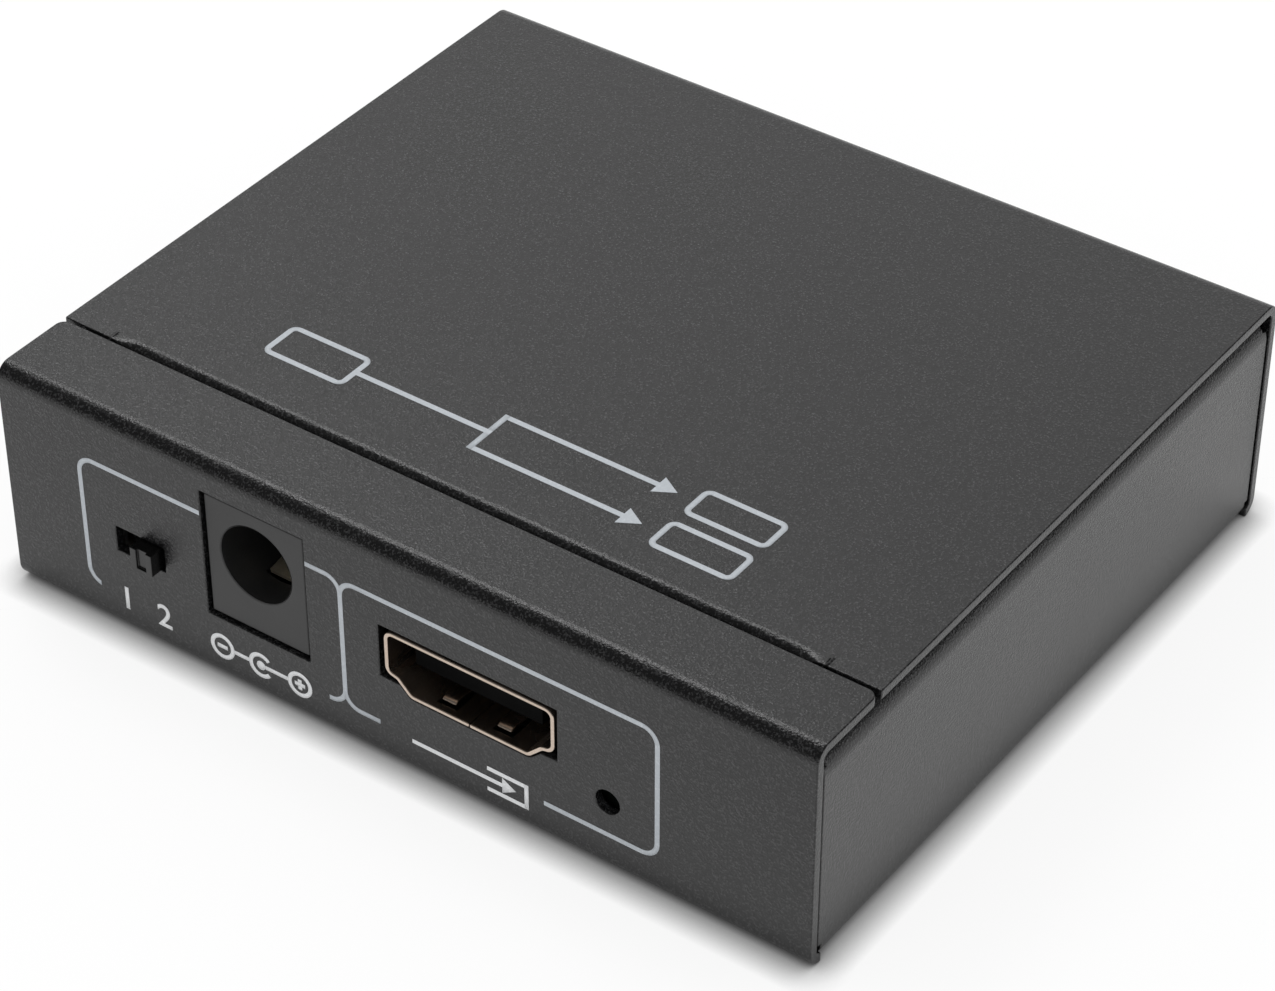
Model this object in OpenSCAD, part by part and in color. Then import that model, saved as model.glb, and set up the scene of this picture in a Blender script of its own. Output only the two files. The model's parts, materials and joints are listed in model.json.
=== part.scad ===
// Two-way video splitter: a folded sheet-steel case around one circuit board.
// Millimetres, +Z up. The origin is the middle of the case's underside, the front panel faces -Y.

/* [Case] */
// Width across the front and back panels
case_w = 71; // [70:0.5:90]
// Depth from the front panel to the back panel
case_d = 61; // [60:0.5:80]
// Height from the underside to the top
case_h = 19.6; // [19.2:0.1:26]
// Thickness of the coated steel sheet
sheet_t = 0.8; // [0.6:0.1:1]
// Inside radius of the folds
fold_r = 0.5; // [0.3:0.1:0.7]
// Inside radius of the fold between a side wall and its flange
wall_fold_r = 1.4; // [0.5:0.1:1.8]
// Depth of the strip that each half wraps round onto the other half's side
strip_d = 7.2; // [6.4:0.1:9]
// Open seam between a strip and the plate beside it
seam_gap = 0.25; // [0.15:0.05:0.5]
// Inside radius of the offset bend that steps a plate's tongue behind the strip
joggle_r = 0.15; // [0.1:0.05:0.25]
// Room between a tongue's end and the panel before it
tongue_gap = 1.05; // [0.6:0.05:1.4]
// Room between a tongue's side and the flange beside it
tongue_side_gap = 0.5; // [0.3:0.1:1.5]
// Width of the relief cut at each end of an offset bend
relief_w = 0; // [0:0.05:0.5]
// Corner radius of the strip on top, in plan
strip_corner_r = 0.8; // [0.4:0.1:1.5]
// How far the side walls stand in from the panels' ends
wall_inset = 0.1; // [0.1:0.1:0.8]
// Width of the flange at the top of each side wall
flange_w = 3.9; // [2.6:0.1:4.4]
// Gap between the side walls' ends and the panels
wall_gap = 0.2; // [0.1:0.05:0.3]
// Gap between the flanges and the cover that lies over them
cover_clear = 0.1; // [0.05:0.05:0.2]
// Room left round a fold by the notch in a side wall's corner
notch_gap = 0.1; // [0.05:0.05:0.5]
// Gap between the rear strip's sides and the side walls' folds
strip_side_gap = 0.4; // [0.2:0.1:0.8]

/* [Cover screws] */
// Distance of each cover screw from the middle
cover_screw_x = 22; // [16:0.5:28]
// Shank radius of a cover screw
cover_screw_r = 1; // [0.8:0.1:1.2]
// Length of a cover screw with its head
cover_screw_l = 3; // [2.8:0.1:3.6]
// Depth of the cross recess in the heads
recess_depth = 0.5; // [0.3:0.05:0.6]
// Width of the cross recess
recess_w = 0.45; // [0.3:0.05:0.6]
// Length of the cross recess from tip to tip
recess_l = 2; // [1.4:0.1:2.2]
// Clearance round a screw's thread in its tapped hole
thread_clear = 0.03; // [0.02:0.01:0.05]
// Clearance round a screw's head or shank where it passes through
screw_clear = 0.1; // [0.05:0.05:0.2]

/* [Board] */
// Thickness of the circuit board
board_t = 1.6; // [1:0.1:1.6]
// Height of the stand-offs under the board
standoff_h = 3.6; // [3.2:0.1:4]
// Width of a stand-off across its flats
standoff_af = 4.5; // [4:0.1:5]
// Radius of the stand-off's foot pressed into the floor
standoff_foot_r = 1.9; // [1.7:0.1:2]
// Clearance round a foot in the floor
foot_clear = 0.02; // [0.01:0.01:0.05]
// Gap between the board and the side walls
board_side_gap = 1.3; // [0.5:0.1:1.5]
// Gap between the board and the panels
board_end_gap = 0.5; // [0.3:0.1:0.6]
// Corner radius of the board
board_r = 1; // [0.5:0.1:2]
// Distance of the screw holes from the board's sides
board_hole_inset = 4.2; // [3.5:0.1:5]
// Distance of the screw holes from the board's ends
board_hole_setback = 12; // [11:0.1:14]
// Shank radius of a board screw
board_screw_r = 1.22; // [1:0.02:1.3]
// Reach of a board screw below the board
board_screw_reach = 2.6; // [2:0.1:3]
// Head radius of a board screw
board_head_r = 2.2; // [2:0.1:2.5]
// Head height of a board screw
board_head_h = 1.5; // [1.2:0.1:1.8]
// How far legs stand out below the board
leg_out = 0.9; // [0.5:0.1:1.1]
// Clearance round a leg in its drilled hole
drill_clear = 0.12; // [0.08:0.02:0.2]

/* [Video ports] */
// Middle of the input port from the middle of the front panel
input_x = 7.1; // [4:0.1:9]
// Middle of each output port from the middle of the back panel
output_x = 16; // [14:0.5:17]
// Height of a port's middle above the board
port_axis_h = 3.7; // [3.2:0.1:4]
// Inside width of a port's mouth
port_w = 14; // [13.5:0.1:14.5]
// Inside height of a port's mouth
port_h = 4.55; // [4.3:0.05:4.8]
// Width of the flat at the bottom of the mouth
port_floor_w = 10; // [9:0.1:11]
// Depth below the middle at which the mouth's sides turn in to a ledge
port_shoulder = 0.95; // [0.6:0.05:1]
// Depth below the middle at which each ledge turns down to the flat
port_waist = 1.15; // [1.05:0.05:1.3]
// Width of the mouth between its ledges
port_waist_w = 12.3; // [11.8:0.1:12.6]
// Corner radius of the mouth
port_r = 0.45; // [0.2:0.05:0.6]
// Thickness of the shell
shell_t = 0.33; // [0.25:0.01:0.4]
// Length of the shell
shell_l = 11.8; // [11:0.1:12.5]
// How far the shell stands out of the panel
port_proud = 0.1; // [0:0.05:0.4]
// Gap above and below the shell in the panel
port_gap = 0.12; // [0.1:0.02:0.3]
// Gap on each side of the shell in the panel
port_side_gap = 0.35; // [0.35:0.05:0.6]
// Depth below the middle of the opening's square corners
port_opening_low = 1.85; // [1.7:0.05:2]
// How far the input's opening lies to the left of the port
input_opening_shift = 0.2; // [0:0.05:0.2]
// Width of the shell's legs
shell_leg_w = 1.2; // [0.8:0.1:1.4]
// Distance of the front legs behind the mouth
front_leg_y = 3.2; // [2.8:0.1:4]
// Distance of the rear legs behind the mouth
rear_leg_y = 9.2; // [8:0.1:10]
// Width of the spring leaves in the shell
leaf_w = 1.2; // [1:0.1:1.6]
// Distance of a leaf from the shell's middle
leaf_x = 2.4; // [2:0.1:3]
// Distance of a leaf's free end behind the mouth
leaf_y = 0.9; // [0.7:0.1:1.5]
// Length of a leaf
leaf_l = 4.8; // [4:0.1:5.5]
// How far a leaf's bump stands into the mouth
leaf_bump = 0.5; // [0.3:0.05:0.6]
// Slit round a leaf
leaf_slit = 0.25; // [0.15:0.05:0.35]
// Width of the butt seam along the shell's underside
shell_seam = 0.08; // [0.05:0.01:0.15]
// Width of the tongue that carries the contacts
tongue_port_w = 11; // [10.4:0.1:11.4]
// Thickness of the tongue
tongue_port_t = 1.5; // [1.2:0.1:1.6]
// Height of the tongue's middle above the mouth's middle
tongue_port_z = 0.35; // [0.1:0.05:0.5]
// Distance of the tongue's end behind the mouth
tongue_port_y = 1.2; // [0.8:0.1:2]
// Distance of the core's solid plug behind the mouth
core_y = 8.4; // [8:0.1:9]
// Length of the core's foot behind the shell
core_foot_l = 1.1; // [0.9:0.1:1.5]
// Gap round the core in the shell
core_gap = 0.03; // [0.02:0.01:0.06]
// Spacing of the contacts in a row
contact_pitch = 1; // [0.9:0.05:1]
// Width of a contact
contact_w = 0.3; // [0.2:0.02:0.34]
// Thickness of a contact
contact_t = 0.16; // [0.12:0.02:0.2]
// Clearance round a contact in the core
contact_clear = 0.02; // [0.01:0.01:0.03]
// Length of a contact's tail on the board
contact_tail = 1.2; // [0.8:0.1:1.5]

/* [Power jack] */
// Middle of the jack from the middle of the front panel
jack_x = -11.9; // [-13:0.1:-11.5]
// Width of the jack
jack_w = 9; // [8.6:0.1:9.4]
// Height of the jack
jack_h = 10.7; // [10.4:0.1:11]
// Length of the jack
jack_l = 14.2; // [13.5:0.1:15]
// Length of the square block behind the jack's face
jack_face_l = 3.6; // [3:0.1:4.5]
// Height of the plug hole's axis above the board
jack_axis_h = 6.2; // [6:0.1:6.4]
// Radius of the plug hole
jack_bore_r = 3.15; // [3:0.05:3.3]
// Depth of the plug hole
jack_bore_l = 11; // [10:0.1:12]
// Chamfer at the plug hole's mouth
jack_chamfer = 0.1; // [0.05:0.05:0.3]
// Radius of the centre pin
pin_r = 1.03; // [0.9:0.01:1.25]
// Distance of the pin's tip behind the face
pin_recess = 2.8; // [1:0.1:5]
// Clearance round the pin in the jack's back wall
pin_clear = 0.02; // [0.01:0.01:0.05]
// How far the jack's face lies behind the panel's face
jack_recess = 0.25; // [0:0.05:0.4]
// Gap round the jack in the panel
jack_gap = 0.2; // [0.1:0.05:0.3]
// Thickness of the jack's springs and terminals
terminal_t = 0.4; // [0.3:0.05:0.5]
// Width of the jack's springs and terminals
terminal_w = 2.4; // [2:0.1:2.8]
// Distance of the sleeve spring's free end behind the face
sleeve_y = 2.8; // [2.4:0.1:3.4]
// Height of the sleeve spring's free end in the plug hole
sleeve_tip = 0.45; // [0.3:0.05:0.6]
// Height of the sleeve spring's crest in the plug hole
sleeve_bump = 1; // [0.7:0.05:1.2]
// Room beside the sleeve spring in its slot
sleeve_room = 0.2; // [0.1:0.05:0.4]

/* [Slide switch] */
// Middle of the switch from the middle of the front panel
switch_x = -22.8; // [-23.2:0.1:-22.2]
// Width of the switch
switch_w = 8.6; // [8.2:0.1:9]
// Depth of the switch
switch_d = 4.4; // [4.2:0.1:5]
// Height of the switch
switch_h = 5.3; // [4.6:0.1:5.6]
// Thickness of the switch's folded can
can_t = 0.3; // [0.25:0.05:0.35]
// Gap between the switch and the front panel
switch_gap = 0.1; // [0.05:0.05:0.3]
// Travel of the knob
travel = 2; // [1.6:0.1:2.2]
// Width of the knob
knob_w = 2; // [1.6:0.1:2.2]
// Height of the knob
knob_h = 1.9; // [1.6:0.1:2.3]
// How far the knob stands out of the front panel
knob_out = 1.1; // [0.8:0.1:2.4]
// Gap round the knob in the slots at its limits
knob_gap = 0.3; // [0.15:0.05:0.4]
// Width of the groove in the knob's face
groove_w = 0.9; // [0.6:0.1:1]
// Depth of the groove in the knob's face
groove_depth = 0.2; // [0.2:0.05:0.5]
// Height of the lip below the groove
groove_lip = 0.2; // [0.2:0.05:0.5]
// Sliding gap round the knob's carriage in the can
slide_gap = 0.12; // [0.08:0.02:0.2]
// Depth of the carriage inside the can
carriage_d = 1.2; // [1:0.1:1.3]
// Room for the wiper between the carriage and the terminals
wiper_room = 0.7; // [0.6:0.05:0.8]
// Thickness of the wiper
wiper_t = 0.18; // [0.15:0.01:0.22]
// Width of the wiper
wiper_w = 1.6; // [1.2:0.1:2]
// Running gap between the wiper and the terminals
wiper_clear = 0.03; // [0.02:0.01:0.05]
// Thickness of the switch's terminals
switch_pin_t = 0.3; // [0.25:0.05:0.4]
// Width of the switch's terminals
switch_pin_w = 0.8; // [0.6:0.1:1]

/* [Lamps] */
// Middle of the input lamp from the middle of the front panel
input_lamp_x = 18.8; // [17:0.1:22]
// Distance of each output lamp from its port's middle
output_lamp_dx = 11.2; // [10.5:0.1:12]
// Radius of the lamp holes in the panels
lamp_hole_r = 1; // [0.8:0.05:1.2]
// Height of the lamp holes above the board
lamp_h = 0.35; // [0.2:0.05:0.6]
// Width of a lamp
lamp_w = 3; // [2.4:0.1:3.4]
// Depth of a lamp's base
lamp_d = 0.9; // [0.6:0.1:1.2]
// Height of a lamp
lamp_tall = 1; // [0.8:0.1:1.2]
// Radius of a lamp's lens
lens_r = 0.45; // [0.3:0.05:0.5]

/* [Chips and small parts] */
// Side of the splitter chip
chip_w = 10; // [9:0.5:12]
// Height of the splitter chip's body
chip_h = 1.3; // [1:0.1:1.5]
// Gap under a chip's body
chip_lift = 0.15; // [0.1:0.05:0.2]
// Leads along each side of the splitter chip
chip_leads = 16; // [12:1:16]
// Spacing of the splitter chip's leads
lead_pitch = 0.5; // [0.45:0.05:0.5]
// Width of the splitter chip's leads
lead_w = 0.22; // [0.18:0.02:0.26]
// Reach of a lead beyond the body
lead_reach = 1.1; // [1:0.1:1.3]
// Straight stretch of a lead beside the body
lead_shoulder = 0.35; // [0.2:0.05:0.4]
// Length of a lead's foot on the board
lead_foot = 0.5; // [0.3:0.05:0.5]
// Thickness of a lead
lead_t = 0.15; // [0.12:0.01:0.2]
// Length of the two eight-lead chips
small_chip_l = 5; // [4.6:0.1:5.2]
// Width of the two eight-lead chips
small_chip_w = 3.9; // [3.6:0.1:4.2]
// Spacing of the leads on the eight-lead chips
small_lead_pitch = 1.27; // [1.2:0.01:1.27]
// Width of the leads on the eight-lead chips
small_lead_w = 0.42; // [0.3:0.02:0.5]
// Radius of the electrolytic capacitors
can_r = 2.5; // [2:0.1:3]
// Height of the electrolytic capacitors
can_h = 5.4; // [4.4:0.1:6]
// Thickness of the capacitors' moulded seats
seat_t = 0.7; // [0.5:0.1:1]
// Rim of a seat round its capacitor
seat_rim = 0.15; // [0.1:0.05:0.3]
// Side of the power inductor
coil_w = 5; // [4.5:0.1:5.5]
// Height of the power inductor
coil_h = 2.8; // [2:0.1:3.2]
// Length of the crystal can
crystal_l = 5; // [4.5:0.1:5.5]
// Width of the crystal can
crystal_w = 3.2; // [2.8:0.1:3.4]
// Height of the crystal can
crystal_h = 1.2; // [1:0.1:1.6]
// Width of the groove round the inductor's winding
coil_groove = 0.3; // [0.2:0.05:0.5]
// Length of the input diode
diode_l = 4.3; // [4:0.1:4.6]
// Width of the input diode
diode_w = 2.6; // [2.2:0.1:2.8]
// Height of the input diode
diode_h = 2.1; // [1.8:0.1:2.4]
// Length of a surge protector
surge_l = 2.5; // [2.2:0.1:2.8]
// Length of a chip capacitor or resistor
bit_l = 1.6; // [1.4:0.1:1.7]
// Width of a chip capacitor or resistor
bit_w = 0.8; // [0.6:0.05:0.9]

/* [Hidden] */
$fn = 48;

// How far a cutting shape runs past the face that it cuts
cut = 1;

// Case
front_y = -case_d / 2;
back_y = case_d / 2;
fold_out = fold_r + sheet_t;
joggle_out = joggle_r + sheet_t;
seam_y = front_y + strip_d + seam_gap;
tongue_end_y = front_y + sheet_t + tongue_gap;
wall_x = case_w / 2 - wall_inset;
wall_top = case_h - sheet_t - cover_clear;
tongue_w = 2 * (wall_x - flange_w - tongue_side_gap);
strip_half_w = wall_x - fold_out - strip_side_gap;
cover_screw_y = back_y - strip_d / 2;

// Board
board_z = sheet_t + standoff_h;
board_top = board_z + board_t;
board_w = 2 * (wall_x - sheet_t - board_side_gap);
board_d = case_d - 2 * (sheet_t + board_end_gap);
board_hole_x = board_w / 2 - board_hole_inset;
board_hole_y = board_d / 2 - board_hole_setback;
leg_depth = board_t + leg_out;

// Ports: the mouth's outline runs anticlockwise from the lower left
port_mouth = [
    [-port_floor_w / 2, -port_h / 2], [port_floor_w / 2, -port_h / 2],
    [port_waist_w / 2, -port_waist], [port_w / 2, -port_shoulder], [port_w / 2, port_h / 2],
    [-port_w / 2, port_h / 2], [-port_w / 2, -port_shoulder], [-port_waist_w / 2, -port_waist]
];
top_contact_count = 10;
bottom_contact_count = 9;
contact_riser_y = shell_l + core_foot_l / 2;
port_depth = shell_l + core_foot_l + contact_tail;
input_back_y = front_y - port_proud + port_depth;
output_back_y = back_y + port_proud - port_depth;

// Jack and switch
jack_back_y = front_y + jack_recess + jack_l + terminal_t;
sleeve_leg_y = jack_bore_l + terminal_t;
sleeve_low = 1;
side_terminal_y = jack_l / 2 + terminal_w;
switch_y = front_y + sheet_t + switch_gap;
switch_axis_h = switch_h / 2;
switch_leg_y = switch_d / 2;
carriage_w = switch_w - 2 * can_t - travel - 2 * slide_gap;
carriage_h = switch_h - 2 * can_t - 2 * slide_gap;
carriage_back = can_t + slide_gap + carriage_d;
terminal_face = carriage_back + wiper_room;
switch_riser_y = switch_d + switch_pin_t;

// Small parts, each at the middle of its footprint on the board
part_gap = 1;
surge_dx = 2.6;
surge_gap = 0.8;
surge_w = 1.2;
rear_free_y = output_back_y - surge_gap - surge_w;
chip_at = [4, 0];
regulator_at = [-17, 0];
control_at = [-19, rear_free_y - part_gap - lead_reach - small_chip_w / 2];
inductor_at = [-25.5, -2.5];
crystal_at = [-7.5, -2.5];
seat_w = 2 * (can_r + seat_rim);
seat_y = jack_back_y + part_gap + seat_w / 2;
seats_at = [[jack_x + part_gap, seat_y], [jack_x - part_gap - seat_w, seat_y]];
diode_at = [-26, seat_y];
small_chip_side_leads = 4;
bit_h = 0.6;
bit_end = 0.3;
ceramics_at = [
    [-3.6, -7.5, 0], [-3.6, 3.5, 90], [-3.6, 6.5, 90], [0, 9, 0], [3, 9, 0], [6, 9, 0], [9, 9, 0],
    [12.6, -3, 90], [12.6, 0, 90], [12.6, 3, 90], [-11.5, 0, 90], [-11.5, 3, 90], [-22, 3.5, 0],
    [-25, 3.5, 0], [20, -8, 0], [20, -5.5, 0], [24, 4, 90], [24, 8, 90], [-12.5, 10, 90]
];
resistors_at = [
    [0, -9, 0], [3, -9, 0], [6, -9, 0], [9, -9, 0], [16, -3, 90], [16, 0, 90], [16, 3, 90],
    [19, 0, 90], [19, 3, 90], [-7.5, 3, 0], [-7.5, 5, 0], [-7.5, 7, 0], [-24, 9, 90], [-26.5, 9, 90],
    [23, -8, 0], [23, -5.5, 0]
];

// Outward unit normal of the edge from a to b on an anticlockwise outline
function edge_normal(a, b) = [b.y - a.y, a.x - b.x] / norm(b - a);

// Corner direction that keeps both edges parallel when they shift by one unit
function mitre(m, n) = (m + n) / (1 + m * n);

// Anticlockwise outline, grown by g: its outer corners are rounded to radius r before growing,
// and its inner corners to radius r after it
function rounded(pts, r, g = 0, steps = 5) = [
    for (i = [0 : len(pts) - 1])
        let (
            p = pts[i],
            m = edge_normal(pts[(i + len(pts) - 1) % len(pts)], p),
            n = edge_normal(p, pts[(i + 1) % len(pts)]),
            way = sign(m.x * n.y - m.y * n.x),
            turn = way * acos(min(1, m * n)),
            start = atan2(m.y, m.x),
            set_in = way > 0 ? r : -r - g,
            centre = p - set_in * mitre(m, n)
        )
        for (k = [0 : steps])
            centre + (set_in + g) * [cos(start + turn * k / steps), sin(start + turn * k / steps)]
];

// Outline of a bent strip of thickness t along a path
function strip_side(path, offset) = [
    for (i = [0 : len(path) - 1])
        let (
            m = i > 0 ? edge_normal(path[i - 1], path[i]) : edge_normal(path[0], path[1]),
            n = i < len(path) - 1 ? edge_normal(path[i], path[i + 1]) : m
        )
        path[i] + offset * mitre(m, n)
];
function reversed(list) = [for (i = [len(list) - 1 : -1 : 0]) list[i]];
function ribbon(path, t) = concat(strip_side(path, t / 2), reversed(strip_side(path, -t / 2)));

function box_outline(w, d) = [[-w / 2, -d / 2], [w / 2, -d / 2], [w / 2, d / 2], [-w / 2, d / 2]];

// Profiles in YZ are extruded along X, profiles in XZ along Y
module along_x(length) {
    rotate([90, 0, 90]) linear_extrude(length, center = true) children();
}

module along_y(from, to) {
    translate([0, to, 0]) rotate([90, 0, 0]) linear_extrude(to - from) children();
}

module block(size, at) {
    translate([at.x - size.x / 2, at.y - size.y / 2, at.z]) cube(size);
}

// Round hole through a plate of thickness t that lies on z = 0
module hole(r, t) {
    translate([0, 0, -cut]) cylinder(r = r, h = t + 2 * cut);
}

module on_board(at) {
    translate([at.x, at.y, board_top]) children();
}

// Folded sheet
module round_rect(low, high, r) {
    translate([low.x + r, low.y]) square([high.x - low.x - 2 * r, high.y - low.y]);
    translate([low.x, low.y + r]) square([high.x - low.x, high.y - low.y - 2 * r]);
    for (x = [low.x + r, high.x - r], y = [low.y + r, high.y - r]) translate([x, y]) circle(r);
}

module fold_ring(low, high, r = fold_r) {
    difference() {
        round_rect(low, high, r + sheet_t);
        round_rect(low + [sheet_t, sheet_t], high - [sheet_t, sheet_t], r);
    }
}

// Plate on top, panel at the back and strip underneath, open towards the front
module wrap_profile() {
    difference() {
        fold_ring([-case_d, 0], [back_y, case_h]);
        translate([-case_d - cut, case_h / 2]) square([seam_y + case_d + cut, case_h]);
        translate([-case_d - cut, -cut]) square([back_y - strip_d + case_d + cut, case_h / 2 + 2 * cut]);
    }
}

module joggle_quarter(centre, right, up) {
    translate(centre) intersection() {
        difference() {
            circle(joggle_out);
            circle(joggle_r);
        }
        translate([right ? 0 : -joggle_out, up ? 0 : -joggle_out]) square(joggle_out);
    }
}

// Offset bend at the plate's front edge, its root in the plate and the tongue that it carries
module joggle_profile() {
    bend_z = case_h - joggle_out;
    translate([seam_y + joggle_out, case_h - sheet_t]) square(sheet_t);
    joggle_quarter([seam_y + joggle_out, bend_z], false, true);
    joggle_quarter([seam_y - joggle_r, bend_z], true, false);
    translate([tongue_end_y, bend_z - joggle_out]) square([seam_y - joggle_r - tongue_end_y, sheet_t]);
}

// What rounds off the strip's free corners
module strip_corners() {
    for (side = [-1, 1])
        translate([side * case_w / 2, back_y - strip_d, -cut]) linear_extrude(sheet_t + 2 * cut)
            difference() {
                translate([-strip_corner_r, -strip_corner_r]) square(2 * strip_corner_r);
                translate([-side * strip_corner_r, strip_corner_r]) circle(strip_corner_r);
            }
}

// One folded half: the cover as it stands, or the tray when it is turned over
module wrap_half() {
    difference() {
        along_x(case_w) wrap_profile();
        block([tongue_w + 2 * relief_w, 2 * joggle_out, sheet_t + cut], [0, seam_y, case_h - sheet_t]);
        strip_corners();
    }
    along_x(tongue_w) joggle_profile();
}

// Both walls in section: a tight fold at the floor and a wider one at the flange
module wall_profile() {
    for (upper = [false, true]) intersection() {
        fold_ring([-wall_x, 0], [wall_x, wall_top], upper ? wall_fold_r : fold_r);
        translate([-case_w, upper ? case_h / 2 : -case_h / 2]) square([2 * case_w, case_h]);
    }
}

// Side walls, each with its flange on top and its root in the floor
module side_walls() {
    notch_l = fold_out + notch_gap;
    root_x = wall_x - fold_out;
    difference() {
        along_y(front_y + sheet_t + wall_gap, back_y - sheet_t - wall_gap) difference() {
            wall_profile();
            translate([flange_w - wall_x, case_h / 2]) square([2 * (wall_x - flange_w), case_h]);
            translate([sheet_t - root_x, -cut]) square([2 * (root_x - sheet_t), case_h / 2 + 2 * cut]);
        }
        block([2 * root_x, 2 * (strip_d + seam_gap), sheet_t + 2 * cut], [0, back_y, -cut]);
        for (y = [front_y, back_y]) {
            block([case_w, 2 * notch_l, notch_l + cut], [0, y, -cut]);
            block([case_w, 2 * notch_l, notch_l + cut], [0, y, wall_top - notch_l]);
        }
    }
}

// Places of the parts that reach through the panels
module at_front(x, h) {
    translate([x, front_y, board_top + h]) children();
}

module at_back(x, h) {
    translate([x, back_y, board_top + h]) rotate(180) children();
}

// Square opening as wide as the port needs, with a narrower foot that follows the shell
module port_opening(shift = 0) {
    wide = port_w + 2 * (shell_t + port_side_gap);
    top = port_h / 2 + shell_t + port_gap;
    along_y(-cut, sheet_t + cut) {
        translate([-wide / 2 - shift, -port_opening_low]) square([wide, port_opening_low + top]);
        polygon(rounded(port_mouth, port_r, shell_t + port_gap));
    }
}

module lamp_opening() {
    along_y(-cut, sheet_t + cut) circle(lamp_hole_r);
}

module jack_room(depth) {
    wide = jack_w + 2 * jack_gap;
    translate([-wide / 2, -cut, -jack_gap]) cube([wide, depth + 2 * cut, jack_h + 2 * jack_gap]);
}

module switch_opening() {
    size = [knob_w + travel + 2 * knob_gap, sheet_t + 2 * cut, knob_h + knob_gap];
    translate([-size.x / 2, -cut, -size.z / 2]) cube(size);
}

module base_tray() {
    color([0.1, 0.1, 0.105]) difference() {
        union() {
            difference() {
                translate([0, 0, case_h]) rotate([180, 0, 0]) wrap_half();
                for (side = [-1, 1])
                    block([2 * (wall_inset + fold_out), case_d - 2 * fold_out, sheet_t + cut],
                        [side * case_w / 2, 0, -cut]);
            }
            side_walls();
        }
        at_front(jack_x, 0) jack_room(sheet_t);
        at_front(switch_x, switch_axis_h) switch_opening();
        at_front(input_x, port_axis_h) port_opening(input_opening_shift);
        at_front(input_lamp_x, lamp_h) lamp_opening();
        at_board_holes() hole(standoff_foot_r + foot_clear, sheet_t);
        at_cover_screws() cylinder(r = cover_screw_r + thread_clear, h = sheet_t + cover_screw_l);
    }
}

module top_cover() {
    color([0.1, 0.1, 0.105]) difference() {
        wrap_half();
        for (side = [-1, 1])
            block([case_w - 2 * strip_half_w, 2 * (strip_d - fold_out), sheet_t + 2 * cut],
                [side * case_w / 2, back_y - strip_d, -cut]);
        for (side = [-1, 1]) {
            at_back(side * output_x, port_axis_h) port_opening();
            at_back(side * output_x - output_lamp_dx, lamp_h) lamp_opening();
        }
        at_front(jack_x, 0) jack_room(jack_l);
        at_cover_screws() {
            hole(cover_screw_r + screw_clear, sheet_t);
            translate([0, 0, -screw_clear]) screw_cone(screw_clear);
        }
    }
}

// Flat head as deep as the sheet, with sides at 45 degrees
module screw_cone(grow) {
    cylinder(r1 = cover_screw_r + sheet_t + 2 * grow, r2 = cover_screw_r + grow, h = sheet_t + grow);
}

module at_cover_screws() {
    for (side = [-1, 1]) translate([side * cover_screw_x, cover_screw_y, 0]) children();
}

module cross_recess() {
    for (turn = [0, 90]) rotate(turn) block([recess_l, recess_w, recess_depth + cut], [0, 0, 0]);
}

module cover_screws() {
    color([0.12, 0.12, 0.12]) at_cover_screws() difference() {
        union() {
            screw_cone(0);
            cylinder(r = cover_screw_r, h = cover_screw_l);
        }
        translate([0, 0, -cut]) cross_recess();
    }
}

module at_board_holes() {
    for (x = [-board_hole_x, board_hole_x], y = [-board_hole_y, board_hole_y])
        translate([x, y, 0]) children();
}

module board_standoffs() {
    color("goldenrod") at_board_holes() difference() {
        union() {
            cylinder(r = standoff_foot_r, h = sheet_t);
            translate([0, 0, sheet_t]) cylinder(d = standoff_af / cos(30), h = standoff_h, $fn = 6);
        }
        translate([0, 0, sheet_t]) cylinder(r = board_screw_r + thread_clear, h = standoff_h + cut);
    }
}

module board_screws() {
    color("silver") at_board_holes() difference() {
        union() {
            translate([0, 0, board_z - board_screw_reach])
                cylinder(r = board_screw_r, h = board_screw_reach + board_t);
            translate([0, 0, board_top]) cylinder(r = board_head_r, h = board_head_h);
        }
        translate([0, 0, board_top + board_head_h - recess_depth]) cross_recess();
    }
}

// Drilled hole round a leg of thickness t and width w
module drill(at, t, w) {
    translate(at) hole(norm([t, w]) / 2 + drill_clear, board_t);
}

module port_drills() {
    for (side = [-1, 1], y = [front_leg_y, rear_leg_y])
        drill([side * (port_w + shell_t) / 2, y], shell_t, shell_leg_w);
}

module jack_drills() {
    drill([0, jack_l + terminal_t / 2], terminal_t, terminal_w);
    drill([0, sleeve_leg_y], terminal_t, terminal_w);
    drill([-jack_w / 2 - terminal_t / 2, side_terminal_y], terminal_t, terminal_w);
}

module switch_drills() {
    for (side = [-1, 1]) drill([side * (switch_w - can_t) / 2, switch_leg_y], can_t, shell_leg_w);
    for (step = [-1 : 1]) drill([step * travel, switch_riser_y], switch_pin_t, switch_pin_w);
}

module main_board() {
    color("darkgreen") translate([0, 0, board_z]) difference() {
        linear_extrude(board_t) polygon(rounded(box_outline(board_w, board_d), board_r));
        at_board_holes() hole(board_screw_r + screw_clear, board_t);
        translate([input_x, front_y - port_proud, 0]) port_drills();
        for (side = [-1, 1]) translate([side * output_x, back_y + port_proud, 0]) rotate(180) port_drills();
        translate([jack_x, front_y + jack_recess, 0]) jack_drills();
        translate([switch_x, switch_y, 0]) switch_drills();
    }
}

// Video port, seen from its mouth: the mouth is at y = 0 and the port runs back along +y
module leaf_window(up) {
    size = [leaf_w + 2 * leaf_slit, leaf_l + leaf_slit, shell_t + 2 * leaf_slit];
    for (side = [-1, 1])
        translate([side * leaf_x, leaf_y + (leaf_l - leaf_slit) / 2, up * (port_h + shell_t) / 2])
            cube(size, center = true);
}

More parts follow.
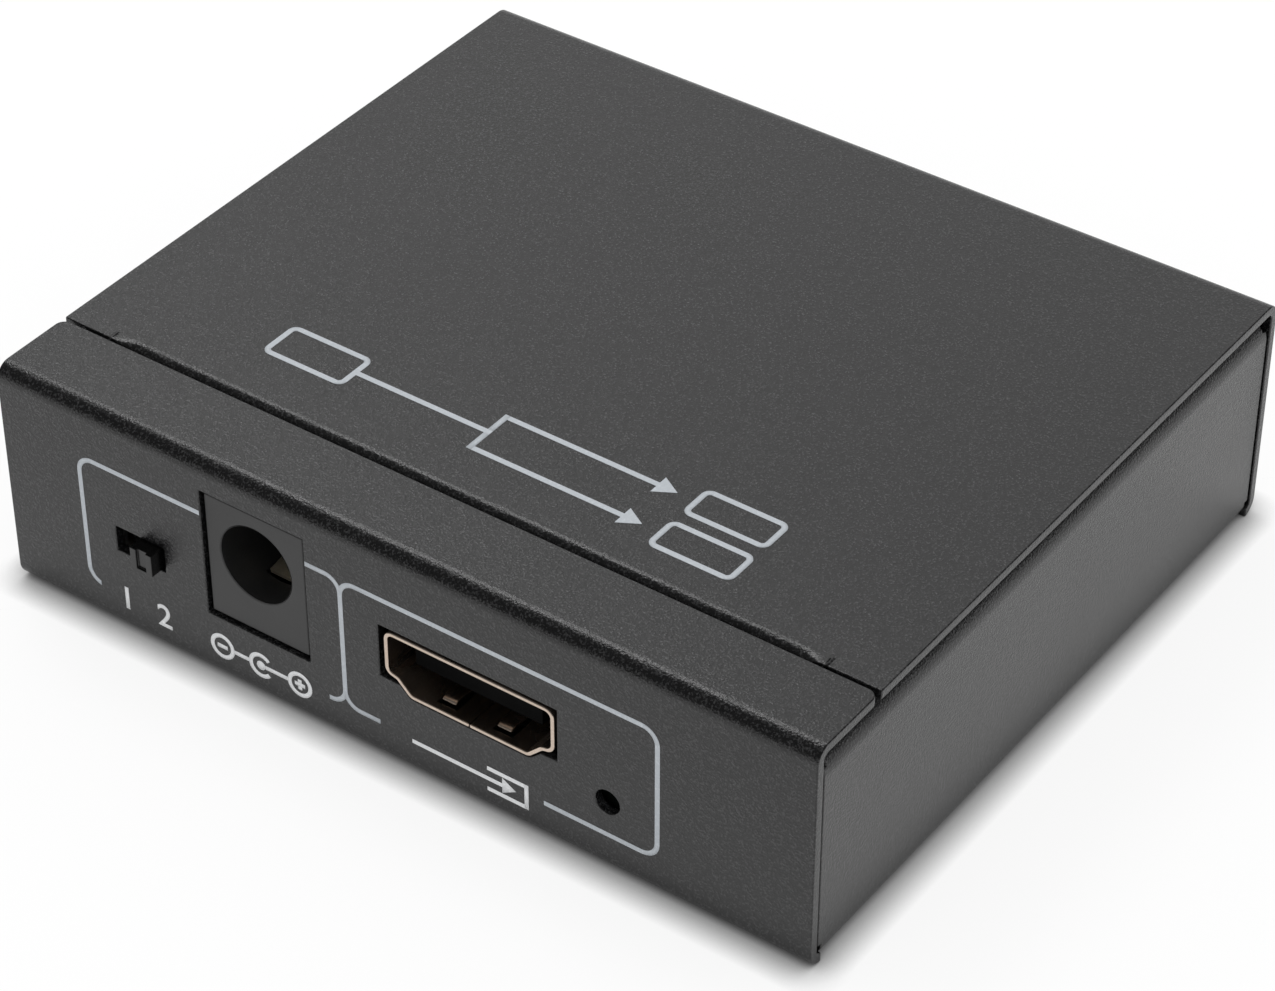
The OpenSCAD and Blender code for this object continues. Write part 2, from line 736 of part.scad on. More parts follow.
module leaf(up) {
    mid = port_h / 2 + shell_t / 2;
    crest = port_h / 2 - leaf_bump + shell_t / 2;
    path = [
        [leaf_y, crest + leaf_bump / 2], [leaf_y + leaf_l / 8, crest],
        [leaf_y + leaf_l - shell_t, mid], [leaf_y + leaf_l + shell_t, mid]
    ];
    outline = [for (p = ribbon(path, shell_t)) [p.x, up * p.y]];
    for (side = [-1, 1]) translate([side * leaf_x, 0, 0]) along_x(leaf_w) polygon(outline);
}

module port_shell() {
    leg_h = port_axis_h + leg_depth;
    difference() {
        union() {
            along_y(0, shell_l) polygon(rounded(port_mouth, port_r, shell_t));
            for (side = [-1, 1], y = [front_leg_y, rear_leg_y])
                block([shell_t, shell_leg_w, leg_h], [side * (port_w + shell_t) / 2, y, -leg_h]);
        }
        along_y(-cut, shell_l + cut) polygon(rounded(port_mouth, port_r));
        for (up = [-1, 1]) leaf_window(up);
        translate([-shell_seam / 2, -cut, -port_h]) cube([shell_seam, shell_l + 2 * cut, port_h]);
    }
    for (up = [-1, 1]) leaf(up);
}

module contact_row(count, z, grow) {
    foot_z = contact_t / 2 - port_axis_h;
    path = [
        [tongue_port_y + 2 * contact_w, z], [contact_riser_y, z],
        [contact_riser_y, foot_z], [port_depth, foot_z]
    ];
    for (i = [0 : count - 1])
        translate([(i - (count - 1) / 2) * contact_pitch, 0, 0])
            along_x(contact_w + 2 * grow) polygon(ribbon(path, contact_t + 2 * grow));
}

module port_contacts(grow = 0) {
    contact_row(top_contact_count, tongue_port_z + tongue_port_t / 2, grow);
    contact_row(bottom_contact_count, tongue_port_z - tongue_port_t / 2, grow);
}

module port_core() {
    foot_top = tongue_port_z + tongue_port_t;
    difference() {
        union() {
            along_y(core_y, shell_l) polygon(rounded(port_mouth, port_r, -core_gap));
            block([tongue_port_w, core_y - tongue_port_y, tongue_port_t],
                [0, (core_y + tongue_port_y) / 2, tongue_port_z - tongue_port_t / 2]);
            block([tongue_port_w, core_foot_l, foot_top + port_axis_h],
                [0, shell_l + core_foot_l / 2, -port_axis_h]);
        }
        port_contacts(contact_clear);
    }
}

module shell_finish() {
    color([0.78, 0.72, 0.62]) children();
}

module core_finish() {
    color([0.05, 0.05, 0.05]) children();
}

module contact_finish() {
    color("gold") children();
}

module at_input() {
    at_front(input_x, port_axis_h) translate([0, -port_proud, 0]) children();
}

module at_output(side) {
    at_back(side * output_x, port_axis_h) translate([0, -port_proud, 0]) children();
}

module input_port_shell() { shell_finish() at_input() port_shell(); }
module input_port_core() { core_finish() at_input() port_core(); }
module input_port_contacts() { contact_finish() at_input() port_contacts(); }
module output_port_1_shell() { shell_finish() at_output(-1) port_shell(); }
module output_port_1_core() { core_finish() at_output(-1) port_core(); }
module output_port_1_contacts() { contact_finish() at_output(-1) port_contacts(); }
module output_port_2_shell() { shell_finish() at_output(1) port_shell(); }
module output_port_2_core() { core_finish() at_output(1) port_core(); }
module output_port_2_contacts() { contact_finish() at_output(1) port_contacts(); }

// Power jack: the face is at y = 0 and the board at z = 0
module at_jack() {
    at_front(jack_x, 0) translate([0, jack_recess, 0]) children();
}

module power_jack_body() {
    slot_w = terminal_w + 2 * sleeve_room;
    slot_y = sleeve_y - sleeve_room;
    color([0.06, 0.06, 0.06]) at_jack() difference() {
        union() {
            translate([-jack_w / 2, 0, 0]) cube([jack_w, jack_face_l, jack_h]);
            translate([-jack_w / 2, 0, 0]) cube([jack_w, jack_l, jack_axis_h]);
            translate([0, 0, jack_axis_h]) along_y(0, jack_l) circle(jack_h - jack_axis_h);
        }
        translate([0, 0, jack_axis_h]) {
            along_y(-cut, jack_bore_l) circle(jack_bore_r);
            along_y(0, jack_l + cut) circle(pin_r + pin_clear);
            rotate([-90, 0, 0])
                cylinder(r1 = jack_bore_r + jack_chamfer, r2 = jack_bore_r, h = jack_chamfer);
        }
        translate([-slot_w / 2, slot_y, -cut])
            cube([slot_w, sleeve_leg_y + terminal_t - slot_y, cut + jack_axis_h - jack_bore_r / 2]);
    }
}

module power_jack_pin() {
    tip = pin_r / 2;
    color("silver") at_jack() translate([0, 0, jack_axis_h]) {
        along_y(pin_recess + tip, jack_l + terminal_t) circle(pin_r);
        translate([0, pin_recess, 0]) rotate([-90, 0, 0]) cylinder(r1 = pin_r - tip, r2 = pin_r, h = tip);
    }
}

module power_jack_sleeve_spring() {
    bore_low = jack_axis_h - jack_bore_r - terminal_t / 2;
    path = [
        [sleeve_leg_y, -leg_depth], [sleeve_leg_y, sleeve_low + terminal_t],
        [sleeve_leg_y - terminal_w, sleeve_low + terminal_t], [jack_bore_l / 2, bore_low + sleeve_bump],
        [sleeve_y, bore_low + sleeve_tip]
    ];
    color("silver") at_jack() along_x(terminal_w) polygon(ribbon(path, terminal_t));
}

module power_jack_terminals() {
    plate_top = jack_axis_h + terminal_w;
    color("silver") at_jack() {
        difference() {
            block([terminal_w, terminal_t, plate_top + leg_depth],
                [0, jack_l + terminal_t / 2, -leg_depth]);
            translate([0, 0, jack_axis_h]) along_y(0, jack_l + 2 * cut) circle(pin_r + pin_clear);
        }
        block([terminal_t, terminal_w, jack_axis_h + leg_depth],
            [-jack_w / 2 - terminal_t / 2, side_terminal_y, -leg_depth]);
    }
}

// Slide switch: the can's front is at y = 0 and the board at z = 0
module at_switch() {
    translate([switch_x, switch_y, board_top]) children();
}

module switch_can() {
    slot = [knob_w + travel + 2 * knob_gap, can_t + 2 * cut, knob_h + knob_gap];
    color("silver") at_switch() difference() {
        union() {
            translate([-switch_w / 2, 0, 0]) cube([switch_w, switch_d, switch_h]);
            for (side = [-1, 1])
                block([can_t, shell_leg_w, leg_depth + can_t],
                    [side * (switch_w - can_t) / 2, switch_leg_y, -leg_depth]);
        }
        block([switch_w - 2 * can_t, switch_d, switch_h - 2 * can_t], [0, can_t + switch_d / 2, can_t]);
        translate([-slot.x / 2, -cut, switch_axis_h - slot.z / 2]) cube(slot);
    }
}

module switch_pins(grow = 0) {
    head = terminal_face + switch_pin_t / 2;
    path = [[head, switch_axis_h], [switch_riser_y, switch_axis_h], [switch_riser_y, -leg_depth]];
    for (step = [-1 : 1]) translate([step * travel, 0, 0]) {
        along_x(switch_pin_w + 2 * grow) polygon(ribbon(path, switch_pin_t + 2 * grow));
        block([switch_pin_w, switch_pin_t, wiper_w], [0, head, switch_axis_h - wiper_w / 2]);
    }
}

module switch_base() {
    size = [
        switch_w - 2 * can_t - 2 * drill_clear, switch_d - terminal_face - switch_pin_t,
        switch_h - 2 * can_t - 2 * drill_clear
    ];
    color("peru") at_switch() difference() {
        translate([-size.x / 2, terminal_face + switch_pin_t, switch_axis_h - size.z / 2]) cube(size);
        switch_pins(contact_clear);
    }
}

module switch_terminals() {
    color("silver") at_switch() switch_pins();
}

module switch_knob() {
    stem_l = switch_gap + sheet_t + knob_out + can_t + slide_gap;
    color([0.08, 0.08, 0.08]) at_switch() translate([travel / 2, can_t + slide_gap, switch_axis_h])
        difference() {
            union() {
                translate([-carriage_w / 2, 0, -carriage_h / 2]) cube([carriage_w, carriage_d, carriage_h]);
                translate([-knob_w / 2, -stem_l, -knob_h / 2])
                    cube([knob_w, stem_l + carriage_d / 2, knob_h]);
            }
            block([groove_w, 2 * groove_depth, knob_h], [0, -stem_l, groove_lip - knob_h / 2]);
        }
}

module switch_wiper() {
    low = carriage_back + wiper_t / 2;
    high = terminal_face - wiper_clear - wiper_t / 2;
    ends = [[travel * 3 / 4, (low + high) / 2], [travel / 2, high], [travel / 4, low]];
    path = concat([for (p = ends) [-p.x, p.y]], reversed(ends));
    color("gold") at_switch() translate([travel / 2, 0, switch_axis_h - wiper_w / 2])
        linear_extrude(wiper_w) polygon(ribbon(path, wiper_t));
}

// Lamps: a moulded base with a rounded lens towards the panel
module lamp() {
    setback = sheet_t + board_end_gap + lens_r;
    translate([-lamp_w / 2, setback, 0]) cube([lamp_w, lamp_d, lamp_tall]);
    translate([0, setback, 0]) cylinder(r = lens_r, h = lamp_tall);
}

module input_lamp() {
    color("aliceblue") at_front(input_lamp_x, 0) lamp();
}

module output_lamps() {
    color("aliceblue") for (side = [-1, 1]) at_back(side * output_x - output_lamp_dx, 0) lamp();
}

// Chips
module chip_body(w, d, h) {
    dimple_r = d / 16;
    translate([0, 0, chip_lift]) difference() {
        linear_extrude(h) polygon(rounded(box_outline(w, d), dimple_r / 2));
        translate([3 * dimple_r - w / 2, 3 * dimple_r - d / 2, h - dimple_r / 2])
            cylinder(r = dimple_r, h = h);
    }
}

// Row of bent leads along the +y side of a body of depth d
module lead_row(count, pitch, w, d, h) {
    shoulder = chip_lift + h / 2;
    foot = lead_t / 2;
    path = [
        [d / 2, shoulder], [d / 2 + lead_shoulder, shoulder],
        [d / 2 + lead_reach - lead_foot, foot], [d / 2 + lead_reach, foot]
    ];
    for (i = [0 : count - 1])
        translate([(i - (count - 1) / 2) * pitch, 0, 0]) along_x(w) polygon(ribbon(path, lead_t));
}

module small_chip() {
    chip_body(small_chip_l, small_chip_w, chip_h);
}

module small_chip_leads() {
    for (turn = [0, 180]) rotate(turn)
        lead_row(small_chip_side_leads, small_lead_pitch, small_lead_w, small_chip_w, chip_h);
}

module splitter_chip() { color([0.12, 0.12, 0.13]) on_board(chip_at) chip_body(chip_w, chip_w, chip_h); }
module splitter_chip_leads() {
    color("silver") on_board(chip_at)
        for (turn = [0 : 90 : 270]) rotate(turn) lead_row(chip_leads, lead_pitch, lead_w, chip_w, chip_h);
}
module control_chip() { color([0.12, 0.12, 0.13]) on_board(control_at) small_chip(); }
module control_chip_leads() { color("silver") on_board(control_at) small_chip_leads(); }
module voltage_regulator() { color([0.12, 0.12, 0.13]) on_board(regulator_at) small_chip(); }
module regulator_leads() { color("silver") on_board(regulator_at) small_chip_leads(); }

// Parts that stand on two bent tabs
module end_tabs(l, w, h, t) {
    for (side = [-1, 1]) block([t, w, h], [side * (l + t) / 2, 0, 0]);
}

module power_inductor() {
    color([0.2, 0.2, 0.2]) on_board(inductor_at) difference() {
        linear_extrude(coil_h) polygon(rounded(box_outline(coil_w, coil_w), coil_w / 6));
        translate([0, 0, coil_h - terminal_t]) difference() {
            cylinder(r = coil_w / 3 + coil_groove, h = coil_h);
            cylinder(r = coil_w / 3, h = coil_h);
        }
    }
}
module inductor_tabs() {
    color("silver") on_board(inductor_at) end_tabs(coil_w, coil_w / 3, coil_h / 2, lead_t);
}
module input_diode() {
    color([0.1, 0.1, 0.1]) on_board(diode_at) linear_extrude(diode_h)
        polygon(rounded(box_outline(diode_l, diode_w), lead_t));
}
module diode_tabs() {
    color("silver") on_board(diode_at) end_tabs(diode_l, diode_w / 2, diode_h / 2, lead_t);
}

module capacitor_cans() {
    groove = can_r / 12;
    color("lightgray") for (at = seats_at) on_board(at) translate([0, 0, seat_t]) difference() {
        cylinder(r = can_r, h = can_h);
        translate([0, 0, can_h / 5]) difference() {
            cylinder(r = can_r + cut, h = 2 * groove);
            cylinder(r = can_r - groove, h = 2 * groove);
        }
    }
}
module capacitor_seats() {
    color([0.08, 0.08, 0.08]) for (at = seats_at) on_board(at) linear_extrude(seat_t) polygon([
        [-seat_w / 2, -seat_w / 2], [seat_w / 2, -seat_w / 2], [seat_w / 2, seat_w / 4],
        [seat_w / 4, seat_w / 2], [-seat_w / 4, seat_w / 2], [-seat_w / 2, seat_w / 4]
    ]);
}
module crystal_can() {
    rim = crystal_h / 4;
    color("silver") on_board(crystal_at) {
        linear_extrude(rim) polygon(rounded(box_outline(crystal_l, crystal_w), rim));
        translate([0, 0, rim]) linear_extrude(crystal_h - rim)
            polygon(rounded(box_outline(crystal_l - 2 * rim, crystal_w - 2 * rim), rim));
    }
}

module surge_pair(x, y) {
    for (side = [-1, 1]) on_board([x + side * surge_dx, y]) block([surge_l, surge_w, bit_h], [0, 0, 0]);
}
module surge_protectors() {
    color([0.1, 0.1, 0.1]) {
        surge_pair(input_x, input_back_y + surge_gap + surge_w / 2);
        for (side = [-1, 1]) surge_pair(side * output_x, output_back_y - surge_gap - surge_w / 2);
    }
}

// Chip capacitors and resistors, each between two plated ends
module bits(places, h) {
    for (p = places) on_board(p) rotate(p.z) block([bit_l - 2 * bit_end, bit_w, h], [0, 0, 0]);
}
module ceramic_capacitors() { color("tan") bits(ceramics_at, bit_w); }
module chip_resistors() { color([0.08, 0.08, 0.08]) bits(resistors_at, bit_h); }
module bit_ends(places, h) {
    for (p = places) on_board(p) rotate(p.z) end_tabs(bit_l - 2 * bit_end, bit_w, h, bit_end);
}
module end_caps() {
    color("silver") {
        bit_ends(ceramics_at, bit_w);
        bit_ends(resistors_at, bit_h);
    }
}

base_tray();
top_cover();
cover_screws();
board_standoffs();
board_screws();
main_board();
input_port_shell();
input_port_core();
input_port_contacts();
output_port_1_shell();
output_port_1_core();
output_port_1_contacts();
output_port_2_shell();
output_port_2_core();
output_port_2_contacts();
power_jack_body();
power_jack_pin();
power_jack_sleeve_spring();
power_jack_terminals();
switch_can();
switch_base();
switch_terminals();
switch_knob();
switch_wiper();
input_lamp();
output_lamps();
splitter_chip();
splitter_chip_leads();
control_chip();
control_chip_leads();
voltage_regulator();
regulator_leads();
power_inductor();
inductor_tabs();
input_diode();
diode_tabs();
capacitor_cans();
capacitor_seats();
crystal_can();
surge_protectors();
ceramic_capacitors();
chip_resistors();
end_caps();
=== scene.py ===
"""Two-way video splitter in a folded steel case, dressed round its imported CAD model."""

import json
import math

import bmesh
import bpy
from mathutils import Matrix, Vector


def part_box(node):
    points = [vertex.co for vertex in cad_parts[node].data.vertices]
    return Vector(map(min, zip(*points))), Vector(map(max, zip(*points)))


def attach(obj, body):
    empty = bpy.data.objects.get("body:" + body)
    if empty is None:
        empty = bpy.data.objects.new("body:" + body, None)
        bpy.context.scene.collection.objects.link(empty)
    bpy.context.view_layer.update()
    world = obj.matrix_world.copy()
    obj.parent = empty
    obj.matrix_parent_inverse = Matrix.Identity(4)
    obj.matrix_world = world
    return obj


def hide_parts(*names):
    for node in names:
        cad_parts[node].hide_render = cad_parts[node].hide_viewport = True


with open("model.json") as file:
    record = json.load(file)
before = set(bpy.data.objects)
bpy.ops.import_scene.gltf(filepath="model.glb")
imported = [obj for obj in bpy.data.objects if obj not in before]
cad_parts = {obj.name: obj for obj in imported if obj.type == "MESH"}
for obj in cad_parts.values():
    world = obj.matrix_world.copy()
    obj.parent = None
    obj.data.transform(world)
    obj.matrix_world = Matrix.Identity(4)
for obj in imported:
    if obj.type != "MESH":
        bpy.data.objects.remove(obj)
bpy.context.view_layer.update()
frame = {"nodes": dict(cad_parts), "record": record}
mm = 0.001

# Base tray: floor, front panel and both side walls of the case.
# It is 0.8 mm steel sheet, cut, folded and then powder coated in a fine-grained black,
# so every cut edge is rounded over by the coat.
COAT_EDGE = 0.11 * mm
COAT_GLOSS = 0.43
SHARP_ANGLE = math.radians(40)
FLAT_ANGLE = math.radians(0.5)
MERGE_DISTANCE = 0.002 * mm


def add_piece(name, bm, finish, body="case"):
    """Turns a bmesh into a smooth-shaded piece with its finish, riding on a body."""
    mesh = bpy.data.meshes.new(name)
    bm.to_mesh(mesh)
    bm.free()
    mesh.shade_smooth()
    mesh.materials.append(finish)
    piece = bpy.data.objects.new(name, mesh)
    bpy.context.scene.collection.objects.link(piece)
    weighted = piece.modifiers.new("even_shading", "WEIGHTED_NORMAL")
    weighted.weight = 100
    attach(piece, body)
    return piece


def soften_edges(bm, width, segments=2):
    """Rounds over every corner edge of a closed mesh."""
    corners = [e for e in bm.edges if len(e.link_faces) == 2 and e.calc_face_angle() > SHARP_ANGLE]
    bmesh.ops.bevel(
        bm, geom=corners, offset=width, offset_type="OFFSET", affect="EDGES",
        segments=segments, profile=0.5, material=-1, clamp_overlap=False,
    )


def soft_copy(node, width, finish, body="case"):
    """A copy of a CAD solid with its edges rounded over, which stands for it."""
    bm = bmesh.new()
    bm.from_mesh(frame["nodes"][node].data)
    bmesh.ops.remove_doubles(bm, verts=bm.verts, dist=MERGE_DISTANCE)
    bmesh.ops.dissolve_limit(bm, angle_limit=FLAT_ANGLE, verts=bm.verts, edges=bm.edges)
    soften_edges(bm, width)
    piece = add_piece(f"{node}_dressed", bm, finish, body)
    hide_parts(node)
    return piece


def put(tree, kind, **inputs):
    """A new shader node, whose named inputs take a value or another node's socket."""
    node = tree.nodes.new(kind)
    for name, value in inputs.items():
        socket = node.inputs[name.replace("_", " ")]
        if isinstance(value, bpy.types.NodeSocket):
            tree.links.new(value, socket)
        else:
            socket.default_value = value
    return node


def new_effect(name, inputs, outputs):
    """An empty shader group with named numbers going in and coming out, read at Object coordinates."""
    group = bpy.data.node_groups.new(name, "ShaderNodeTree")
    for label in inputs:
        group.interface.new_socket(label, in_out="INPUT", socket_type="NodeSocketFloat")
    for label in outputs:
        group.interface.new_socket(label, in_out="OUTPUT", socket_type="NodeSocketFloat")
    given = group.nodes.new("NodeGroupInput").outputs
    made = group.nodes.new("NodeGroupOutput").inputs
    where = group.nodes.new("ShaderNodeTexCoord").outputs["Object"]
    return group, given, made, where


def use_effect(tree, group, **values):
    """Places a shared effect in a material and returns its outputs."""
    node = tree.nodes.new("ShaderNodeGroup")
    node.node_tree = group
    for label, value in values.items():
        node.inputs[label].default_value = value
    return node.outputs


# grain: the pebbled skin of a coat or moulding; Height for a bump, and a mask for a painted highlight on
# its paler crests
grain, given, made, where = new_effect("grain", ["Scale"], ["Height", "PaintedCrestLight"])
pebble = put(grain, "ShaderNodeTexNoise", Vector=where, Scale=given["Scale"], Detail=2.5, Roughness=0.55)
painted_crest_light = put(
    grain, "ShaderNodeMapRange", Value=pebble.outputs["Fac"],
    From_Min=0.5, From_Max=0.78, To_Min=0.0, To_Max=1.0,
)
grain.links.new(pebble.outputs["Fac"], made["Height"])
grain.links.new(painted_crest_light.outputs["Result"], made["PaintedCrestLight"])

# handling: soft patches, where a surface has been touched or wiped, between a low and a high value
handling, given, made, where = new_effect("handling", ["Scale", "Low", "High"], ["Value"])
patch = put(handling, "ShaderNodeTexNoise", Vector=where, Scale=given["Scale"], Detail=3.0, Roughness=0.6)
spread = put(
    handling, "ShaderNodeMapRange", Value=patch.outputs["Fac"],
    From_Min=0.3, From_Max=0.7, To_Min=given["Low"], To_Max=given["High"],
)
handling.links.new(spread.outputs["Result"], made["Value"])


def new_finish(name):
    """A material with an empty Principled shader, whose constants are set on its own sockets."""
    material = bpy.data.materials.new(name)
    material.use_nodes = True
    tree = material.node_tree
    return material, tree, tree.nodes["Principled BSDF"]


def shade_between(tree, factor, dark, light):
    """Colour that runs from dark to light as the factor goes from 0 to 1."""
    ramp = put(tree, "ShaderNodeValToRGB", Fac=factor)
    ramp.color_ramp.elements[0].color = (*dark, 1.0)
    ramp.color_ramp.elements[1].color = (*light, 1.0)
    return ramp.outputs["Color"]


PEBBLES_IN_PATCH = 40


def finish_with_grain(name, dark, light, rough, pebbles, depth, metallic=0.0):
    """Material whose roughness varies in patches over a pebbled skin, and whose colour is paler on the
    pebbles' crests as a painted highlight.
    """
    material, tree, shader = new_finish(name)
    skin = use_effect(tree, grain, Scale=1 / pebbles)
    worn = use_effect(tree, handling, Scale=1 / (PEBBLES_IN_PATCH * pebbles), Low=rough[0], High=rough[1])
    bump = put(tree, "ShaderNodeBump", Height=skin["Height"], Distance=depth, Strength=1.0)
    # Base colour runs from dark in the hollows to pale on the crests: a painted highlight on the grain.
    tree.links.new(shade_between(tree, skin["PaintedCrestLight"], dark, light), shader.inputs["Base Color"])
    tree.links.new(worn["Value"], shader.inputs["Roughness"])
    tree.links.new(bump.outputs["Normal"], shader.inputs["Normal"])
    shader.inputs["Metallic"].default_value = metallic
    return material, tree, shader


case_coat, _, shader = finish_with_grain(
    "case_coat", dark=(0.004, 0.004, 0.0042), light=(0.042, 0.042, 0.043), rough=(0.2, 0.23),
    pebbles=0.168 * mm, depth=0.045 * mm,
)
shader.inputs["Specular IOR Level"].default_value = COAT_GLOSS
soft_copy("base_tray", COAT_EDGE, case_coat)


def dress(finish, *nodes):
    """Gives CAD nodes that keep their own shape a finish."""
    for node in nodes:
        frame["nodes"][node].material_slots[0].material = finish


# Stand-offs: four hexagonal brass pillars that carry the board.
# Each is turned from bar, drilled and tapped, and its foot is pressed into the floor.
turned_brass, _, _ = finish_with_grain(
    "turned_brass", dark=(0.5, 0.32, 0.1), light=(0.62, 0.43, 0.17), rough=(0.26, 0.42),
    pebbles=0.12 * mm, depth=0.004 * mm, metallic=1.0,
)
dress(turned_brass, "board_standoffs")

# Main board: 1.6 mm glass-fibre laminate with copper tracks under a black solder mask.
# It rests on the stand-offs, and every part inside the case is soldered to it.
TRACK_PITCH = 1.3 * mm
TRACK_GAP = 0.16 * mm
WEAVE = 0.35 * mm
SHEEN_PATCH = 9 * mm
solder_mask, tree, shader = new_finish("solder_mask")
where = tree.nodes.new("ShaderNodeTexCoord").outputs["Object"]
tracks = put(
    tree, "ShaderNodeTexBrick", Vector=where, Scale=1.0, Mortar_Size=TRACK_GAP, Mortar_Smooth=0.2,
    Brick_Width=4 * TRACK_PITCH, Row_Height=TRACK_PITCH,
)
weave = use_effect(tree, grain, Scale=1 / WEAVE)
tree.links.new(
    shade_between(tree, tracks.outputs["Fac"], (0.004, 0.006, 0.005), (0.01, 0.014, 0.012)),
    shader.inputs["Base Color"],
)
bump = put(tree, "ShaderNodeBump", Height=weave["Height"], Distance=0.008 * mm, Strength=1.0)
tree.links.new(bump.outputs["Normal"], shader.inputs["Normal"])
sheen = use_effect(tree, handling, Scale=1 / SHEEN_PATCH, Low=0.2, High=0.34)
tree.links.new(sheen["Value"], shader.inputs["Roughness"])
dress(solder_mask, "main_board")

# Chips and small parts: moulded epoxy bodies, tinned leads, aluminium cans and fired ceramics.
# They are placed on the board by machine and soldered in one pass through an oven.
chip_epoxy, _, _ = finish_with_grain(
    "chip_epoxy", dark=(0.012, 0.012, 0.013), light=(0.028, 0.028, 0.03), rough=(0.48, 0.62),
    pebbles=0.09 * mm, depth=0.008 * mm,
)
dress(chip_epoxy, "splitter_chip", "control_chip", "voltage_regulator", "input_diode", "surge_protectors")
tinned_lead, _, _ = finish_with_grain(
    "tinned_lead", dark=(0.5, 0.5, 0.49), light=(0.68, 0.68, 0.67), rough=(0.28, 0.46),
    pebbles=0.08 * mm, depth=0.004 * mm, metallic=1.0,
)
dress(tinned_lead, "splitter_chip_leads", "control_chip_leads", "regulator_leads")
dress(tinned_lead, "inductor_tabs", "diode_tabs", "end_caps")
ferrite, _, _ = finish_with_grain(
    "ferrite", dark=(0.03, 0.03, 0.031), light=(0.07, 0.07, 0.07), rough=(0.55, 0.75),
    pebbles=0.1 * mm, depth=0.01 * mm,
)
dress(ferrite, "power_inductor")
can_aluminium, _, _ = finish_with_grain(
    "can_aluminium", dark=(0.62, 0.63, 0.64), light=(0.76, 0.77, 0.78), rough=(0.24, 0.38),
    pebbles=0.12 * mm, depth=0.003 * mm, metallic=1.0,
)
dress(can_aluminium, "capacitor_cans")
seat_plastic, _, _ = finish_with_grain(
    "seat_plastic", dark=(0.014, 0.014, 0.014), light=(0.03, 0.03, 0.03), rough=(0.5, 0.66),
    pebbles=0.1 * mm, depth=0.008 * mm,
)
dress(seat_plastic, "capacitor_seats")
pressed_steel, _, _ = finish_with_grain(
    "pressed_steel", dark=(0.5, 0.5, 0.5), light=(0.64, 0.64, 0.64), rough=(0.24, 0.4),
    pebbles=0.15 * mm, depth=0.004 * mm, metallic=1.0,
)
dress(pressed_steel, "crystal_can")
fired_ceramic, _, _ = finish_with_grain(
    "fired_ceramic", dark=(0.3, 0.19, 0.1), light=(0.42, 0.29, 0.17), rough=(0.4, 0.6),
    pebbles=0.06 * mm, depth=0.004 * mm,
)
dress(fired_ceramic, "ceramic_capacitors")
resistor_glaze, _, _ = finish_with_grain(
    "resistor_glaze", dark=(0.008, 0.008, 0.009), light=(0.02, 0.02, 0.021), rough=(0.2, 0.34),
    pebbles=0.07 * mm, depth=0.003 * mm,
)
dress(resistor_glaze, "chip_resistors")

# Video ports: one input at the front and two outputs at the back.
# Each shell is thin plated strip, stamped and rolled to a butt seam; it holds a black moulded
# core whose tongue carries the gilt contacts, and its legs are soldered into the board.
PORTS = ["input_port", "output_port_1", "output_port_2"]
SHELL_EDGE = 0.09 * mm
MOULDED_EDGE = 0.05 * mm
DULL_GLOSS = 0.05
shell_plating, _, _ = finish_with_grain(
    "shell_plating", dark=(0.56, 0.46, 0.38), light=(0.68, 0.58, 0.5), rough=(0.22, 0.34),
    pebbles=0.16 * mm, depth=0.003 * mm, metallic=1.0,
)
port_plastic, _, shader = finish_with_grain(
    "port_plastic", dark=(0.001, 0.001, 0.001), light=(0.003, 0.003, 0.003), rough=(0.6, 0.75),
    pebbles=0.1 * mm, depth=0.006 * mm,
)
shader.inputs["Specular IOR Level"].default_value = DULL_GLOSS
gilt, _, _ = finish_with_grain(
    "gilt", dark=(0.72, 0.48, 0.17), light=(0.83, 0.6, 0.26), rough=(0.18, 0.32),
    pebbles=0.08 * mm, depth=0.002 * mm, metallic=1.0,
)
for port in PORTS:
    soft_copy(f"{port}_shell", SHELL_EDGE, shell_plating)
    soft_copy(f"{port}_core", MOULDED_EDGE, port_plastic)
    dress(gilt, f"{port}_contacts")

# Power jack: a black moulded block with a round plug hole and a plated centre pin.
# A bent spring under the hole presses on the plug's sleeve; all terminals go through the board.
JACK_EDGE = 0.14 * mm
PIN_NOSE = 0.2 * mm
jack_plastic, _, _ = finish_with_grain(
    "jack_plastic", dark=(0.011, 0.011, 0.011), light=(0.018, 0.018, 0.018), rough=(0.36, 0.42),
    pebbles=0.14 * mm, depth=0.012 * mm,
)
soft_copy("power_jack_body", JACK_EDGE, jack_plastic)
pin_plating, _, _ = finish_with_grain(
    "pin_plating", dark=(0.8, 0.72, 0.56), light=(0.9, 0.84, 0.7), rough=(0.42, 0.55),
    pebbles=0.1 * mm, depth=0.002 * mm, metallic=1.0,
)
soft_copy("power_jack_pin", PIN_NOSE, pin_plating)
dress(pin_plating, "power_jack_sleeve_spring")
dress(tinned_lead, "power_jack_terminals")

# Slide switch: a steel can round a brown laminate base, soldered to the board behind the panel.
# Its black moulded knob reaches through the panel and carries a gilt wiper over three terminals.
dress(pressed_steel, "switch_can")
dress(tinned_lead, "switch_terminals")
phenolic, _, _ = finish_with_grain(
    "phenolic", dark=(0.16, 0.075, 0.03), light=(0.24, 0.12, 0.055), rough=(0.45, 0.6),
    pebbles=0.12 * mm, depth=0.008 * mm,
)
dress(phenolic, "switch_base")
knob_plastic, _, _ = finish_with_grain(
    "knob_plastic", dark=(0.002, 0.002, 0.002), light=(0.004, 0.004, 0.004), rough=(0.2, 0.25),
    pebbles=0.11 * mm, depth=0.008 * mm,
)
soft_copy("switch_knob", MOULDED_EDGE, knob_plastic, body="switch_slider")
dress(gilt, "switch_wiper")

